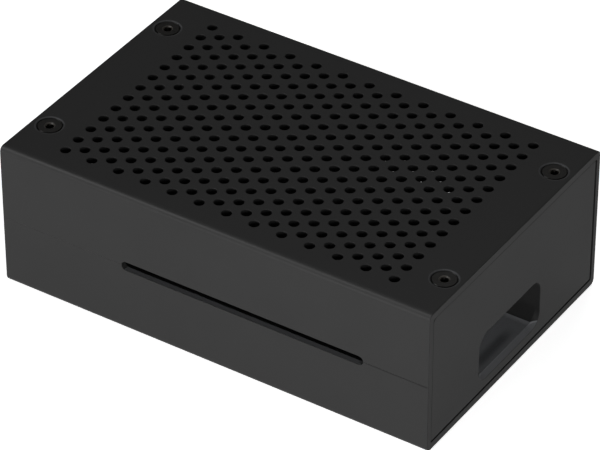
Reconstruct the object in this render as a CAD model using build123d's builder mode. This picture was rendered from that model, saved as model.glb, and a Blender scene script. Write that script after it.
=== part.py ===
# Case for a single board computer: two aluminium channels screwed to two end blocks.
# Millimetres. X runs along the case: +X is the memory card end and -Y the ribbon slot side.
# The origin is the middle of the underside.
import math
import os

from build123d import *

# Board that the case is made for
board_length = 85.0
board_width = 56.0
board_thickness = 1.6
hole_inset = 3.5
hole_from_port_end = 23.5
header_from_card_end = 32.7

# Room around the board
port_end_gap = 0.2
card_end_gap = 0.6
side_gap = 1.0
post_height = 4.0

# Channels: roof and floor, and the thinner long walls
wall = 1.5
side_wall = 1.2
port_skin = 1.2
block_depth = 7.0
case_length = port_skin + port_end_gap + board_length + card_end_gap + block_depth
case_width = board_width + 2 * (side_gap + side_wall)
case_height = 31.2
seam_height = 15.0
long_edge_radius = 1.2
inner_edge_radius = 0.5
end_edge_break = 0.1
seam_edge_break = 0.12

# End blocks, which sit against the front wall
block_edge_break = 0.1
block_lead_in = 0.5
block_corner_radius = 1.0
block_front_gap = 0.05
block_back_gap = 0.15
block_foot = 3.2
port_lintel = 4.0

# Ribbon slot on the seam
slot_length = 53.0
slot_height = 2.0

# Card opening in the card end block
card_opening_width = 21.8
card_opening_height = 9.85
card_opening_y = -1.6
card_corner_radius = 2.8
card_sill_bevel = 0.9
card_edge_radius = 0.15

# Air holes: a grid and a second grid in its gaps
vent_diameter = 2.1
vent_pitch_x = 6.0
vent_pitch_y = 4.05
vent_from_end = 11.0
vent_from_side = 6.0
vent_x = -0.1
vent_y = 0.0

# M2.5 countersunk screws with a hexagon socket
screw_diameter = 2.5
screw_head_diameter = 4.7
screw_head_rim = 0.15
screw_head_break = 0.08
screw_recess = 0.1
screw_gap = 0.05
screw_tip_break = 0.4
screw_sink_break = 0.1
socket_across_flats = 1.5
socket_mouth_diameter = 2.1
socket_mouth_depth = 0.2
socket_depth = 0.9
top_screw_length = 6.0
bottom_screw_length = 4.0
screw_from_end = 3.7
screw_from_side = 10.8
screw_hole_spare = 1.5

# Threaded posts under the board
post_diameter = 5.0
post_bore_diameter = 2.5
post_spigot_diameter = 4.2
post_spigot_depth = 0.8
post_fit_gap = 0.05

# Openings for the board's sockets, measured from the board's edges and its upper face
power_from_card_end = 10.6
power_width = 9.6
power_height = 4.8
power_middle = 1.5
video_from_card_end = 32.0
video_width = 16.6
video_height = 7.2
video_middle = 3.2
audio_from_card_end = 53.5
audio_diameter = 7.2
audio_middle = 3.0
network_from_back_edge = 10.25
network_width = 16.8
network_height = 14.2
usb_from_front_edge = (9.0, 27.0)
usb_width = 14.2
usb_height = 16.6
port_drop = 0.3
port_corner_radius = 0.5

# Places worked out from the sizes above
half_length = case_length / 2
half_width = case_width / 2
ceiling = case_height - wall
block_front_y = side_wall + block_front_gap - half_width
block_back_y = half_width - side_wall - block_back_gap
block_width = block_back_y - block_front_y
block_middle_y = (block_front_y + block_back_y) / 2
block_foot_top = wall + block_foot
board_top = wall + post_height + board_thickness
board_edge_y = board_width / 2
board_card_end = port_skin + port_end_gap + board_length - half_length
hole_span_x = board_length - hole_inset - hole_from_port_end
hole_span_y = board_width - 2 * hole_inset
header_x = board_card_end - header_from_card_end
post_middle_x = board_card_end - hole_inset - hole_span_x / 2
vent_columns = round((case_length - 2 * vent_from_end) / vent_pitch_x) + 1
vent_rows = round((case_width - 2 * vent_from_side) / vent_pitch_y) + 1
screw_span_x = case_length - 2 * screw_from_end
screw_span_y = case_width - 2 * screw_from_side
shank_radius = screw_diameter / 2
head_radius = screw_head_diameter / 2
cone_height = head_radius - shank_radius
sink_radius = head_radius + screw_head_rim + screw_recess + screw_gap
thread_radius = shank_radius + screw_gap


# Section of the closed case, drawn across its length
with BuildSketch(Plane.YZ.offset(-half_length)) as case_section:
    with Locations((0, case_height / 2)):
        RectangleRounded(case_width, case_height, long_edge_radius)
        RectangleRounded(case_width - 2 * side_wall, ceiling - wall, inner_edge_radius,
                         mode=Mode.SUBTRACT)

# Ribbon slot, half in each channel
with BuildSketch(Plane.XZ.offset(half_width)) as ribbon_slot:
    with Locations((header_x, seam_height)):
        SlotOverall(slot_length, slot_height)

# Both channels are halves of this tube
with BuildPart() as tube:
    extrude(case_section.sketch, amount=case_length)
    tube_ends = tube.faces().filter_by(Axis.X).sort_by(Axis.X)
    chamfer(tube_ends[0].outer_wire().edges() + tube_ends[-1].outer_wire().edges(), end_edge_break)


def break_seam_edges(channel, seam_group):
    """Ease the two outer edges that meet at the seam."""
    seam_edges = channel.edges().filter_by(Axis.X).group_by(Axis.Z)[seam_group].sort_by(Axis.Y)
    chamfer([seam_edges[0], seam_edges[-1]], seam_edge_break)


def sink_channel_screws(channel, outer_face):
    """Countersink the four screw holes from the outside of a channel and ease their rims."""
    with Locations(outer_face):
        with GridLocations(screw_span_x, screw_span_y, 2, 2):
            CounterSinkHole(thread_radius, sink_radius, depth=wall, counter_sink_angle=90)
    face_edges = channel.edges().filter_by(GeomType.CIRCLE).filter_by_position(
        Axis.Z, outer_face.origin.Z, outer_face.origin.Z)
    chamfer(face_edges, screw_sink_break)


# Top channel with the air holes
with BuildPart() as top_shell:
    add(tube.part)
    split(bisect_by=Plane.XY.offset(seam_height), keep=Keep.TOP)
    break_seam_edges(top_shell, 0)
    extrude(ribbon_slot.sketch, amount=-side_wall, mode=Mode.SUBTRACT)
    sink_channel_screws(top_shell, Plane.XY.offset(case_height))
    with BuildSketch(Plane.XY.offset(ceiling)):
        with Locations((vent_x, vent_y)):
            with GridLocations(vent_pitch_x, vent_pitch_y, vent_columns, vent_rows):
                Circle(vent_diameter / 2)
            with GridLocations(vent_pitch_x, vent_pitch_y, vent_columns - 1, vent_rows - 1):
                Circle(vent_diameter / 2)
    extrude(amount=wall, mode=Mode.SUBTRACT)
top_shell.part.label = "top_shell"

# Bottom channel with the socket openings in its back wall
underside = Plane((0, 0, 0), x_dir=(1, 0, 0), z_dir=(0, 0, -1))
with BuildPart() as bottom_shell:
    add(tube.part)
    split(bisect_by=Plane.XY.offset(seam_height), keep=Keep.BOTTOM)
    break_seam_edges(bottom_shell, -1)
    extrude(ribbon_slot.sketch, amount=-side_wall, mode=Mode.SUBTRACT)
    sink_channel_screws(bottom_shell, underside)
    with BuildSketch(Plane.XZ.offset(-half_width)):
        with Locations((board_card_end - power_from_card_end, board_top + power_middle)):
            RectangleRounded(power_width, power_height, port_corner_radius)
        with Locations((board_card_end - video_from_card_end, board_top + video_middle)):
            RectangleRounded(video_width, video_height, port_corner_radius)
        with Locations((board_card_end - audio_from_card_end, board_top + audio_middle)):
            Circle(audio_diameter / 2)
    extrude(amount=side_wall, mode=Mode.SUBTRACT)
    with BuildSketch(Plane.XY.offset(wall)):
        with Locations((post_middle_x, 0)):
            with GridLocations(hole_span_x, hole_span_y, 2, 2):
                Circle(post_spigot_diameter / 2 + post_fit_gap)
    extrude(amount=-post_spigot_depth, mode=Mode.SUBTRACT)
bottom_shell.part.label = "bottom_shell"


def block_blank(block, outer_x, inward):
    """Make the plain block between the channels, bevelled where it slides into the lower one."""
    with BuildSketch(Plane.YZ.offset(outer_x)) as block_section:
        with Locations((block_middle_y, case_height / 2)):
            RectangleRounded(block_width, ceiling - wall, block_corner_radius)
    extrude(block_section.sketch, amount=inward * block_depth)
    outer_face = block.faces().filter_by_position(Axis.X, outer_x, outer_x)[0]
    chamfer(outer_face.outer_wire().edges(), block_edge_break)
    bevel_x = outer_x + inward * block_lead_in
    with BuildSketch(Plane.XZ) as lower_bevel:
        Polygon((outer_x, wall), (bevel_x, wall), (outer_x, wall + block_lead_in), align=None)
    extrude(lower_bevel.sketch, amount=block_width, both=True, mode=Mode.SUBTRACT)
    with BuildSketch(Plane.XY) as back_bevel:
        Polygon((outer_x, block_back_y), (bevel_x, block_back_y),
                (outer_x, block_back_y - block_lead_in), align=None)
    extrude(back_bevel.sketch, amount=case_height, mode=Mode.SUBTRACT)


def tap_block(middle_x):
    """Drill the two holes at each side for the channel screws, from above and from below."""
    faces_drilled = (
        (Plane.XY.offset(ceiling), top_screw_length),
        (underside.offset(-wall), bottom_screw_length),
    )
    for face_drilled, screw_length in faces_drilled:
        with Locations(face_drilled):
            with Locations((middle_x, 0)):
                with GridLocations(1, screw_span_y, 1, 2):
                    Hole(thread_radius, depth=screw_length + screw_recess - wall + screw_hole_spare)


# Block at the card end, with the opening for the memory card
with BuildPart() as card_end_block:
    block_blank(card_end_block, half_length, -1)
    with BuildSketch(Plane.YZ.offset(half_length - card_sill_bevel)) as card_opening:
        with Locations((card_opening_y, block_foot_top + card_opening_height / 2)):
            RectangleRounded(card_opening_width, card_opening_height, card_corner_radius)
    extrude(amount=block_depth, both=True, mode=Mode.SUBTRACT)
    extrude(card_opening.sketch, amount=card_sill_bevel * math.sqrt(2), dir=(1, 0, -1),
            mode=Mode.SUBTRACT)
    fillet(card_end_block.faces().sort_by(Axis.X)[-1].inner_wires()[0].edges(), card_edge_radius)
    tap_block(half_length - screw_from_end)
card_end_block.part.label = "card_end_block"

# Block at the other end, hollowed for the board and its sockets
port_bottom = board_top - port_drop
with BuildPart() as port_end_block:
    block_blank(port_end_block, -half_length, 1)
    with BuildSketch(Plane.YZ.offset(block_depth - half_length)):
        with Locations((block_middle_y, block_foot_top)):
            Rectangle(block_width, ceiling - port_lintel - block_foot_top,
                      align=(Align.CENTER, Align.MIN))
    extrude(amount=port_skin - block_depth, mode=Mode.SUBTRACT)
    with BuildSketch(Plane.YZ.offset(-half_length)):
        with Locations((board_edge_y - network_from_back_edge, port_bottom + network_height / 2)):
            RectangleRounded(network_width, network_height, port_corner_radius)
        for usb_place in usb_from_front_edge:
            with Locations((usb_place - board_edge_y, port_bottom + usb_height / 2)):
                RectangleRounded(usb_width, usb_height, port_corner_radius)
    extrude(amount=port_skin, mode=Mode.SUBTRACT)
    tap_block(screw_from_end - half_length)
port_end_block.part.label = "port_end_block"


def countersunk_screw(length):
    """Make one screw with its head's flat face on the XY plane and its shank below."""
    with BuildPart() as screw:
        with BuildSketch(Plane.XZ):
            with BuildLine():
                Polyline(
                    (0, -socket_mouth_depth), (socket_across_flats / 2, -socket_mouth_depth),
                    (socket_mouth_diameter / 2, 0), (head_radius - screw_head_break, 0),
                    (head_radius, -screw_head_break), (head_radius, -screw_head_rim),
                    (shank_radius, -screw_head_rim - cone_height),
                    (shank_radius, screw_tip_break - length),
                    (shank_radius - screw_tip_break, -length), (0, -length), close=True,
                )
            make_face()
        revolve(axis=Axis.Z)
        with BuildSketch():
            RegularPolygon(socket_across_flats / 2, 6, major_radius=False)
        extrude(amount=-socket_depth, mode=Mode.SUBTRACT)
    return screw.part


# Four screws through the roof and four through the floor
with BuildPart() as top_screws:
    with Locations((0, 0, case_height - screw_recess)):
        with GridLocations(screw_span_x, screw_span_y, 2, 2):
            add(countersunk_screw(top_screw_length))
top_screws.part.label = "top_screws"

with BuildPart() as bottom_screws:
    with Locations((0, 0, screw_recess)):
        with GridLocations(screw_span_x, screw_span_y, 2, 2):
            add(countersunk_screw(bottom_screw_length), rotation=(180, 0, 0))
bottom_screws.part.label = "bottom_screws"

# Tapped posts pressed into the floor under the board's four holes
post_names = ("port_front", "port_back", "card_front", "card_back")
posts = []
for post_name, post_place in zip(post_names, GridLocations(hole_span_x, hole_span_y, 2, 2)):
    post_x = post_middle_x + post_place.position.X
    with BuildPart() as board_post:
        with BuildSketch(Plane((post_x, post_place.position.Y, wall))):
            Circle(post_diameter / 2)
        extrude(amount=post_height)
        with BuildSketch(Plane((post_x, post_place.position.Y, wall))):
            Circle(post_spigot_diameter / 2)
        extrude(amount=-post_spigot_depth)
        with BuildSketch(Plane((post_x, post_place.position.Y, wall))):
            Circle(post_bore_diameter / 2)
        extrude(amount=post_height, mode=Mode.SUBTRACT)
    board_post.part.label = f"board_post_{post_name}"
    posts.append(board_post)


# Write one file for each piece
os.makedirs("parts", exist_ok=True)
pieces = [top_shell, bottom_shell, card_end_block, port_end_block, top_screws, bottom_screws] + posts
for piece in pieces:
    export_step(piece.part, f"parts/{piece.part.label}.step")
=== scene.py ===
import math

import bmesh
import bpy
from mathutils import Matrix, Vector

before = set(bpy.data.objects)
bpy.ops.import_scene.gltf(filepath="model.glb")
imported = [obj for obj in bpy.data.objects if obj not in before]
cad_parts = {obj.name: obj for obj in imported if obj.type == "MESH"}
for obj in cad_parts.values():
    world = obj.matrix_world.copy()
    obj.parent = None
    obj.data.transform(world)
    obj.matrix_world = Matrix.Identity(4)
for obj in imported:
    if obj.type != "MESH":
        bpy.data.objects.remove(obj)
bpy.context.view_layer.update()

millimetre = 0.001

view = {
    "azimuth": 33.132,           # degrees, from straight in front towards the card end
    "elevation": 36.681,
    "roll": -0.028,
    "distance": 765.880,         # millimetres from the middle of the underside
    "right": -0.019,             # millimetres beside that line, and above it
    "up": 10.725,
    "focalPixels": 4023.904,     # in a picture of imageWidth pixels
    "imageWidth": 600,
    "sensorWidth": 36.0,         # millimetres
    "nearest": 0.01,             # metres
}

studio = {
    "floorSize": 8.0,
    "floorColor": (0.85, 0.85, 0.85),
    "floorGlow": 0.85,           # only for the camera, gloss and glass
    "floorRoughness": 0.85,
    "floorRoughnessSpread": 0.1,
    "fibreScale": 900.0,
    "skyColor": (1.0, 1.0, 1.0),
    "skyLight": 0.05,
}

# Azimuths run like the view's; distances and sizes are in metres. The last lamp shows only
# in the gloss, as the glint along the roof's front edge.
lamps = {
    "front": {
        "azimuth": -12.0, "elevation": 6.0, "distance": 1.30,
        "size": (0.60, 0.20), "watts": 15.8, "glintOnly": False,
    },
    "right": {
        "azimuth": 47.0, "elevation": 18.0, "distance": 0.42,
        "size": (0.20, 0.12), "watts": 0.53, "glintOnly": False,
    },
    "back": {
        "azimuth": 211.0, "elevation": 52.0, "distance": 1.20,
        "size": (0.60, 0.60), "watts": 3.2, "glintOnly": False,
    },
    "edgeGlint": {
        "azimuth": -52.0, "elevation": 47.0, "distance": 1.20,
        "size": (0.35, 0.80), "watts": 22.0, "glintOnly": True,
    },
}

anodised = {
    "color": (0.031, 0.031, 0.031),
    "colorSpread": 0.12,
    "roughness": 0.40,
    "roughnessSpread": 0.10,
    "ior": 1.115,
    "grainScale": 5200.0,
    "grainDetail": 3.0,
    "grainHeight": 0.010,        # millimetres
    "bumpStrength": 0.6,
    "cloudScale": 70.0,
    "cloudDetail": 2.0,
}

# Paler metal where the cutter cut, and painted light: it lights the slot's sill and the card
# opening's floor and sill, and puts a painted highlight on the countersink rims
milledAndPaintedLight = {
    "color": (0.205, 0.210, 0.220),
    "colorSpread": 0.35,
    "roughness": 0.50,
}

# Where that shows, as places on the pieces in millimetres: a ring around each screw, and boxes
# along X, Y and Z. Strength is how much of the mark shows, and fade how softly it ends.
crisp = 0.02
screwPlaces = {"x": 43.3, "y": 19.4}
# Paler cut rim around each screw, with a painted highlight
countersinkRimsAndHighlights = {**screwPlaces, "inner": 2.54, "outer": 2.90, "fade": crisp, "strength": 0.16}
# Painted light on the slot's sill
slotSillPaintedLight = {
    "low": (-19.9, -30.15, 13.97), "high": (33.3, -28.9, 14.10), "fade": (crisp, crisp, crisp),
    "strength": 0.35,
}
# Painted light on the card opening's floor
cardFloorPaintedLight = {
    "low": (39.9, -12.7, 4.66), "high": (46.97, 9.5, 4.90), "fade": (crisp, crisp, crisp),
    "strength": 1.0,
}
# Painted light on the card opening's sill
cardSillPaintedLight = {
    "low": (39.9, -12.7, 3.72), "high": (46.97, 9.5, 4.66), "fade": (crisp, crisp, crisp),
    "strength": 0.56,
}

# Painted shade: darker walls in the roof's holes, a darker line on the seam where it opens a little
# towards the card end, and a soft dark line across the card opening's floor
# Painted shade in the roof's holes
holeWallsPaintedShade = {
    "low": (-46.6, -28.6, 29.50), "high": (46.6, 28.6, 31.12), "fade": (crisp, crisp, crisp),
    "strength": 0.35,
}
# Painted shade along the seam
seamPaintedShade = {
    "low": (33.6, -30.25, 14.82), "high": (46.8, -30.00, 15.18), "fade": (0.60, crisp, 0.08),
    "strength": 0.25,
}
# Painted shade: a soft dark line across the card opening's floor
cardFloorPaintedShade = {
    "low": (43.2, -9.0, 4.60), "high": (45.1, 2.6, 4.95), "fade": (0.75, 2.5, crisp),
    "strength": 0.48,
}

# Black oxide hides the steel of the screws. It is worn paler around the sockets' mouths, and that
# paler ring is also a painted highlight for the glints there
screwFinish = {
    "color": (0.0085, 0.0076, 0.0064),
    "colorSpread": 0.6,
    "metallic": 0.0,
    "ior": 1.13,
    "roughness": 0.30,
    "roughnessSpread": 0.18,
    "turningScale": 2600.0,
    "turningDetail": 3.0,
    "turningHeight": 0.02,       # millimetres
    "bumpStrength": 0.5,
    "cloudScale": 325.0,
    "cloudDetail": 1.0,
}
# Worn steel around the sockets' mouths, and a painted highlight there
wornMouthsAndHighlights = {
    **screwPlaces, "inner": 0.80, "outer": 1.07, "fade": crisp, "strength": 1.0,
    "color": (0.055, 0.051, 0.046),
}

# Zinc plate
postFinish = {
    "color": (0.60, 0.60, 0.61),
    "colorSpread": 0.6,
    "metallic": 1.0,
    "ior": 1.50,
    "roughness": 0.32,
    "roughnessSpread": 0.15,
    "turningScale": 1800.0,
    "turningDetail": 3.0,
    "turningHeight": 0.02,       # millimetres
    "bumpStrength": 0.5,
    "cloudScale": 225.0,
    "cloudDetail": 1.0,
}


class Value:
    # A node's output that Python's own operators can work on.
    def __init__(self, shader, socket):
        self.shader = shader
        self.socket = socket

    def maths(self, operation, first, second):
        return self.shader.node("ShaderNodeMath", {"operation": operation}, {0: first, 1: second})

    def __add__(self, other):
        return self.maths("ADD", self, other)

    def __radd__(self, other):
        return self.maths("ADD", other, self)

    def __sub__(self, other):
        return self.maths("SUBTRACT", self, other)

    def __rsub__(self, other):
        return self.maths("SUBTRACT", other, self)

    def __mul__(self, other):
        return self.maths("MULTIPLY", self, other)

    def __rmul__(self, other):
        return self.maths("MULTIPLY", other, self)

    def __truediv__(self, other):
        return self.maths("DIVIDE", self, other)

    def __abs__(self):
        return self.maths("ABSOLUTE", self, 0.0)

    def root(self):
        return self.maths("SQRT", self, 0.0)

    def swing(self, amount):
        # A noise from 0 to 1, turned into one that swings about nought.
        return (self - 0.5) * amount

    def above(self, level, fade):
        return self.shader.node(
            "ShaderNodeMapRange", {"interpolation_type": "SMOOTHSTEP"},
            {"Value": self, "From Min": level - fade, "From Max": level + fade},
        )

    def below(self, level, fade):
        return 1.0 - self.above(level, fade)


class Color(Value):
    # The same for a color, whose three parts are added one by one.
    def __add__(self, other):
        return self.shader.node("ShaderNodeVectorMath", {"operation": "ADD"}, {0: self, 1: other})


class Shader:
    # A material and the one way in which its nodes are added.
    def __init__(self, name):
        self.material = bpy.data.materials.new(name)
        self.material.use_nodes = True
        self.tree = self.material.node_tree
        self.surface = self.tree.nodes["Principled BSDF"]

    def node(self, kind, settings=None, inputs=None, output=0):
        made = self.tree.nodes.new(kind)
        for key, value in (settings or {}).items():
            setattr(made, key, value)
        for key, value in (inputs or {}).items():
            self.feed(made.inputs[key], value)
        return Value(self, made.outputs[output])

    def feed(self, socket, value):
        if isinstance(value, Value):
            self.tree.links.new(value.socket, socket)
        else:
            socket.default_value = value

    def place(self):
        return self.node("ShaderNodeTexCoord", output="Object")

    def axes(self, place):
        # X, Y and Z of the place, in millimetres.
        split = self.node("ShaderNodeSeparateXYZ", inputs={"Vector": place})
        return [Value(self, socket) / millimetre for socket in split.socket.node.outputs]

    def tint(self, color, shade):
        return Color(self, self.node(
            "ShaderNodeVectorMath", {"operation": "SCALE"}, {"Vector": color, "Scale": shade},
        ).socket)

    def noise(self, place, scale, detail=2.0):
        return self.node(
            "ShaderNodeTexNoise", {"noise_dimensions": "3D"},
            {"Vector": place, "Scale": scale, "Detail": detail, "Roughness": 0.5}, "Fac",
        )

    def bump(self, height, distance, strength):
        return self.node(
            "ShaderNodeBump",
            inputs={"Height": height, "Distance": distance * millimetre, "Strength": strength},
        )

    def set(self, **values):
        # Base_Color stands for the socket called Base Color, and so on.
        for key, value in values.items():
            self.feed(self.surface.inputs[key.replace("_", " ")], value)


def boxMask(axes, box):
    mask = box["strength"]
    for axis, low, high, fade in zip(axes, box["low"], box["high"], box["fade"]):
        mask = mask * axis.above(low, fade) * axis.below(high, fade)
    return mask


def ringMask(axes, ring):
    across = abs(axes[0]) - ring["x"]
    along = abs(axes[1]) - ring["y"]
    distance = (across * across + along * along).root()
    mask = distance.above(ring["inner"], ring["fade"]) * distance.below(ring["outer"], ring["fade"])
    return mask * ring["strength"]


# Each piece's marks: how much of the paler metal shows, mostly as painted light, and how much
# painted shade darkens it
def shellMarks(axes):
    paleAndPaintedLight = ringMask(axes, countersinkRimsAndHighlights) + boxMask(axes, slotSillPaintedLight)
    return paleAndPaintedLight, boxMask(axes, holeWallsPaintedShade) + boxMask(axes, seamPaintedShade)


def blockMarks(axes):
    return boxMask(axes, cardFloorPaintedLight) + boxMask(axes, cardSillPaintedLight), boxMask(axes, cardFloorPaintedShade)


def anodisedMetal(name, finish, marks):
    shader = Shader(name)
    place = shader.place()
    grain = shader.noise(place, finish["grainScale"], finish["grainDetail"])
    cloud = shader.noise(place, finish["cloudScale"], finish["cloudDetail"])
    # The first mask is paler metal, mostly painted light; the second is painted shade
    cutAndPaintedLight, paintedShade = marks(shader.axes(place))
    spread = finish["colorSpread"]
    shade = 1.0 + cloud.swing(spread) + grain.swing(spread)
    cutAndPaintedLightTone = 1.0 + grain.swing(milledAndPaintedLight["colorSpread"])
    # Painted shade darkens both colours, and the painted light mixes in the paler colour
    color = shader.tint(finish["color"], shade * (1.0 - cutAndPaintedLight) * (1.0 - paintedShade))
    color = color + shader.tint(milledAndPaintedLight["color"], cutAndPaintedLightTone * cutAndPaintedLight * (1.0 - paintedShade))
    spread = finish["roughnessSpread"]
    roughness = finish["roughness"] + cloud.swing(spread) + grain.swing(spread)
    roughness = roughness * (1.0 - cutAndPaintedLight) + milledAndPaintedLight["roughness"] * cutAndPaintedLight
    bump = shader.bump(grain, finish["grainHeight"], finish["bumpStrength"])
    shader.set(Base_Color=color, Roughness=roughness, Normal=bump)
    shader.surface.inputs["IOR"].default_value = finish["ior"]
    return shader.material


def turnedSteel(name, finish, wornAndHighlight=None):
    shader = Shader(name)
    place = shader.place()
    grain = shader.noise(place, finish["turningScale"], finish["turningDetail"])
    cloud = shader.noise(place, finish["cloudScale"], finish["cloudDetail"])
    shade = 1.0 + cloud.swing(finish["colorSpread"])
    # Paler worn steel around the sockets' mouths, also a painted highlight
    if wornAndHighlight:
        bareAndHighlight = ringMask(shader.axes(place), wornAndHighlight)
        color = shader.tint(finish["color"], shade * (1.0 - bareAndHighlight))
        color = color + shader.tint(wornAndHighlight["color"], shade * bareAndHighlight)
    else:
        color = shader.tint(finish["color"], shade)
    roughness = finish["roughness"] + cloud.swing(finish["roughnessSpread"])
    bump = shader.bump(grain, finish["turningHeight"], finish["bumpStrength"])
    shader.set(Base_Color=color, Roughness=roughness, Normal=bump)
    shader.surface.inputs["Metallic"].default_value = finish["metallic"]
    shader.surface.inputs["IOR"].default_value = finish["ior"]
    return shader.material


def dress(node, material):
    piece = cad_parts[node]
    piece.data.materials.clear()
    piece.data.materials.append(material)


# Azimuth 0 looks at the ribbon slot's side, and 90 at the card end
def direction(azimuth, elevation):
    azimuth, elevation = math.radians(azimuth), math.radians(elevation)
    return Vector((
        math.sin(azimuth) * math.cos(elevation),
        -math.cos(azimuth) * math.cos(elevation),
        math.sin(elevation),
    ))


def makeCamera():
    roll = math.radians(view["roll"])
    back = direction(view["azimuth"], view["elevation"])
    level = direction(view["azimuth"] + 90, 0)
    rise = back.cross(level)
    right = level * math.cos(roll) + rise * math.sin(roll)
    up = rise * math.cos(roll) - level * math.sin(roll)
    data = bpy.data.cameras.new("camera")
    data.sensor_width = view["sensorWidth"]
    data.lens = view["focalPixels"] / view["imageWidth"] * view["sensorWidth"]
    data.clip_start = view["nearest"]
    camera = bpy.data.objects.new("camera", data)
    bpy.context.scene.collection.objects.link(camera)
    place = (right * view["right"] + up * view["up"] + back * view["distance"]) * millimetre
    matrix = camera.matrix_world.to_3x3()
    matrix.col[0], matrix.col[1], matrix.col[2] = right, up, back
    camera.matrix_world = matrix.to_4x4()
    camera.location = place
    bpy.context.scene.camera = camera


def makeFloor():
    mesh = bpy.data.meshes.new("floor")
    form = bmesh.new()
    bmesh.ops.create_grid(form, x_segments=1, y_segments=1, size=studio["floorSize"] / 2)
    form.to_mesh(mesh)
    form.free()
    floor = bpy.data.objects.new("floor", mesh)
    bpy.context.scene.collection.objects.link(floor)
    shader = Shader("floorPaper")
    seen = shader.node("ShaderNodeLightPath", output="Is Camera Ray")
    mirrored = shader.node("ShaderNodeLightPath", output="Is Glossy Ray")
    passed = shader.node("ShaderNodeLightPath", output="Is Transmission Ray")
    glow = (seen + mirrored + passed) * studio["floorGlow"]
    fibre = shader.noise(shader.place(), studio["fibreScale"])
    roughness = studio["floorRoughness"] + fibre.swing(studio["floorRoughnessSpread"])
    shader.set(Base_Color=(*studio["floorColor"], 1.0), Roughness=roughness, Emission_Color=glow)
    shader.surface.inputs["Emission Strength"].default_value = 1.0
    shader.surface.inputs["Specular IOR Level"].default_value = 0.0
    mesh.materials.append(shader.material)


def makeSky():
    world = bpy.data.worlds.new("sky")
    bpy.context.scene.world = world
    world.use_nodes = True
    background = world.node_tree.nodes["Background"]
    background.inputs["Color"].default_value = (*studio["skyColor"], 1.0)
    background.inputs["Strength"].default_value = studio["skyLight"]


def makeLamps():
    for name, settings in lamps.items():
        data = bpy.data.lights.new(name, "AREA")
        data.shape = "RECTANGLE"
        data.size, data.size_y = settings["size"]
        data.energy = settings["watts"]
        lamp = bpy.data.objects.new(name, data)
        bpy.context.scene.collection.objects.link(lamp)
        towards = direction(settings["azimuth"], settings["elevation"])
        lamp.location = towards * settings["distance"]
        lamp.rotation_euler = (-towards).to_track_quat("-Z", "Y").to_euler()
        lamp.visible_diffuse = not settings["glintOnly"]


def finishPieces():
    shellFinish = anodisedMetal("shellFinish", anodised, shellMarks)
    blockFinish = anodisedMetal("blockFinish", anodised, blockMarks)
    screwSteel = turnedSteel("screwSteel", screwFinish, wornMouthsAndHighlights)
    postSteel = turnedSteel("postSteel", postFinish)
    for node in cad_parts:
        if node.endswith("shell"):
            dress(node, shellFinish)
        elif node.endswith("block"):
            dress(node, blockFinish)
        elif node.endswith("screws"):
            dress(node, screwSteel)
        else:
            dress(node, postSteel)


bpy.context.scene.view_settings.view_transform = "Standard"
makeCamera()
makeFloor()
makeSky()
makeLamps()
print("studio is set")
finishPieces()
print("finishes are on")
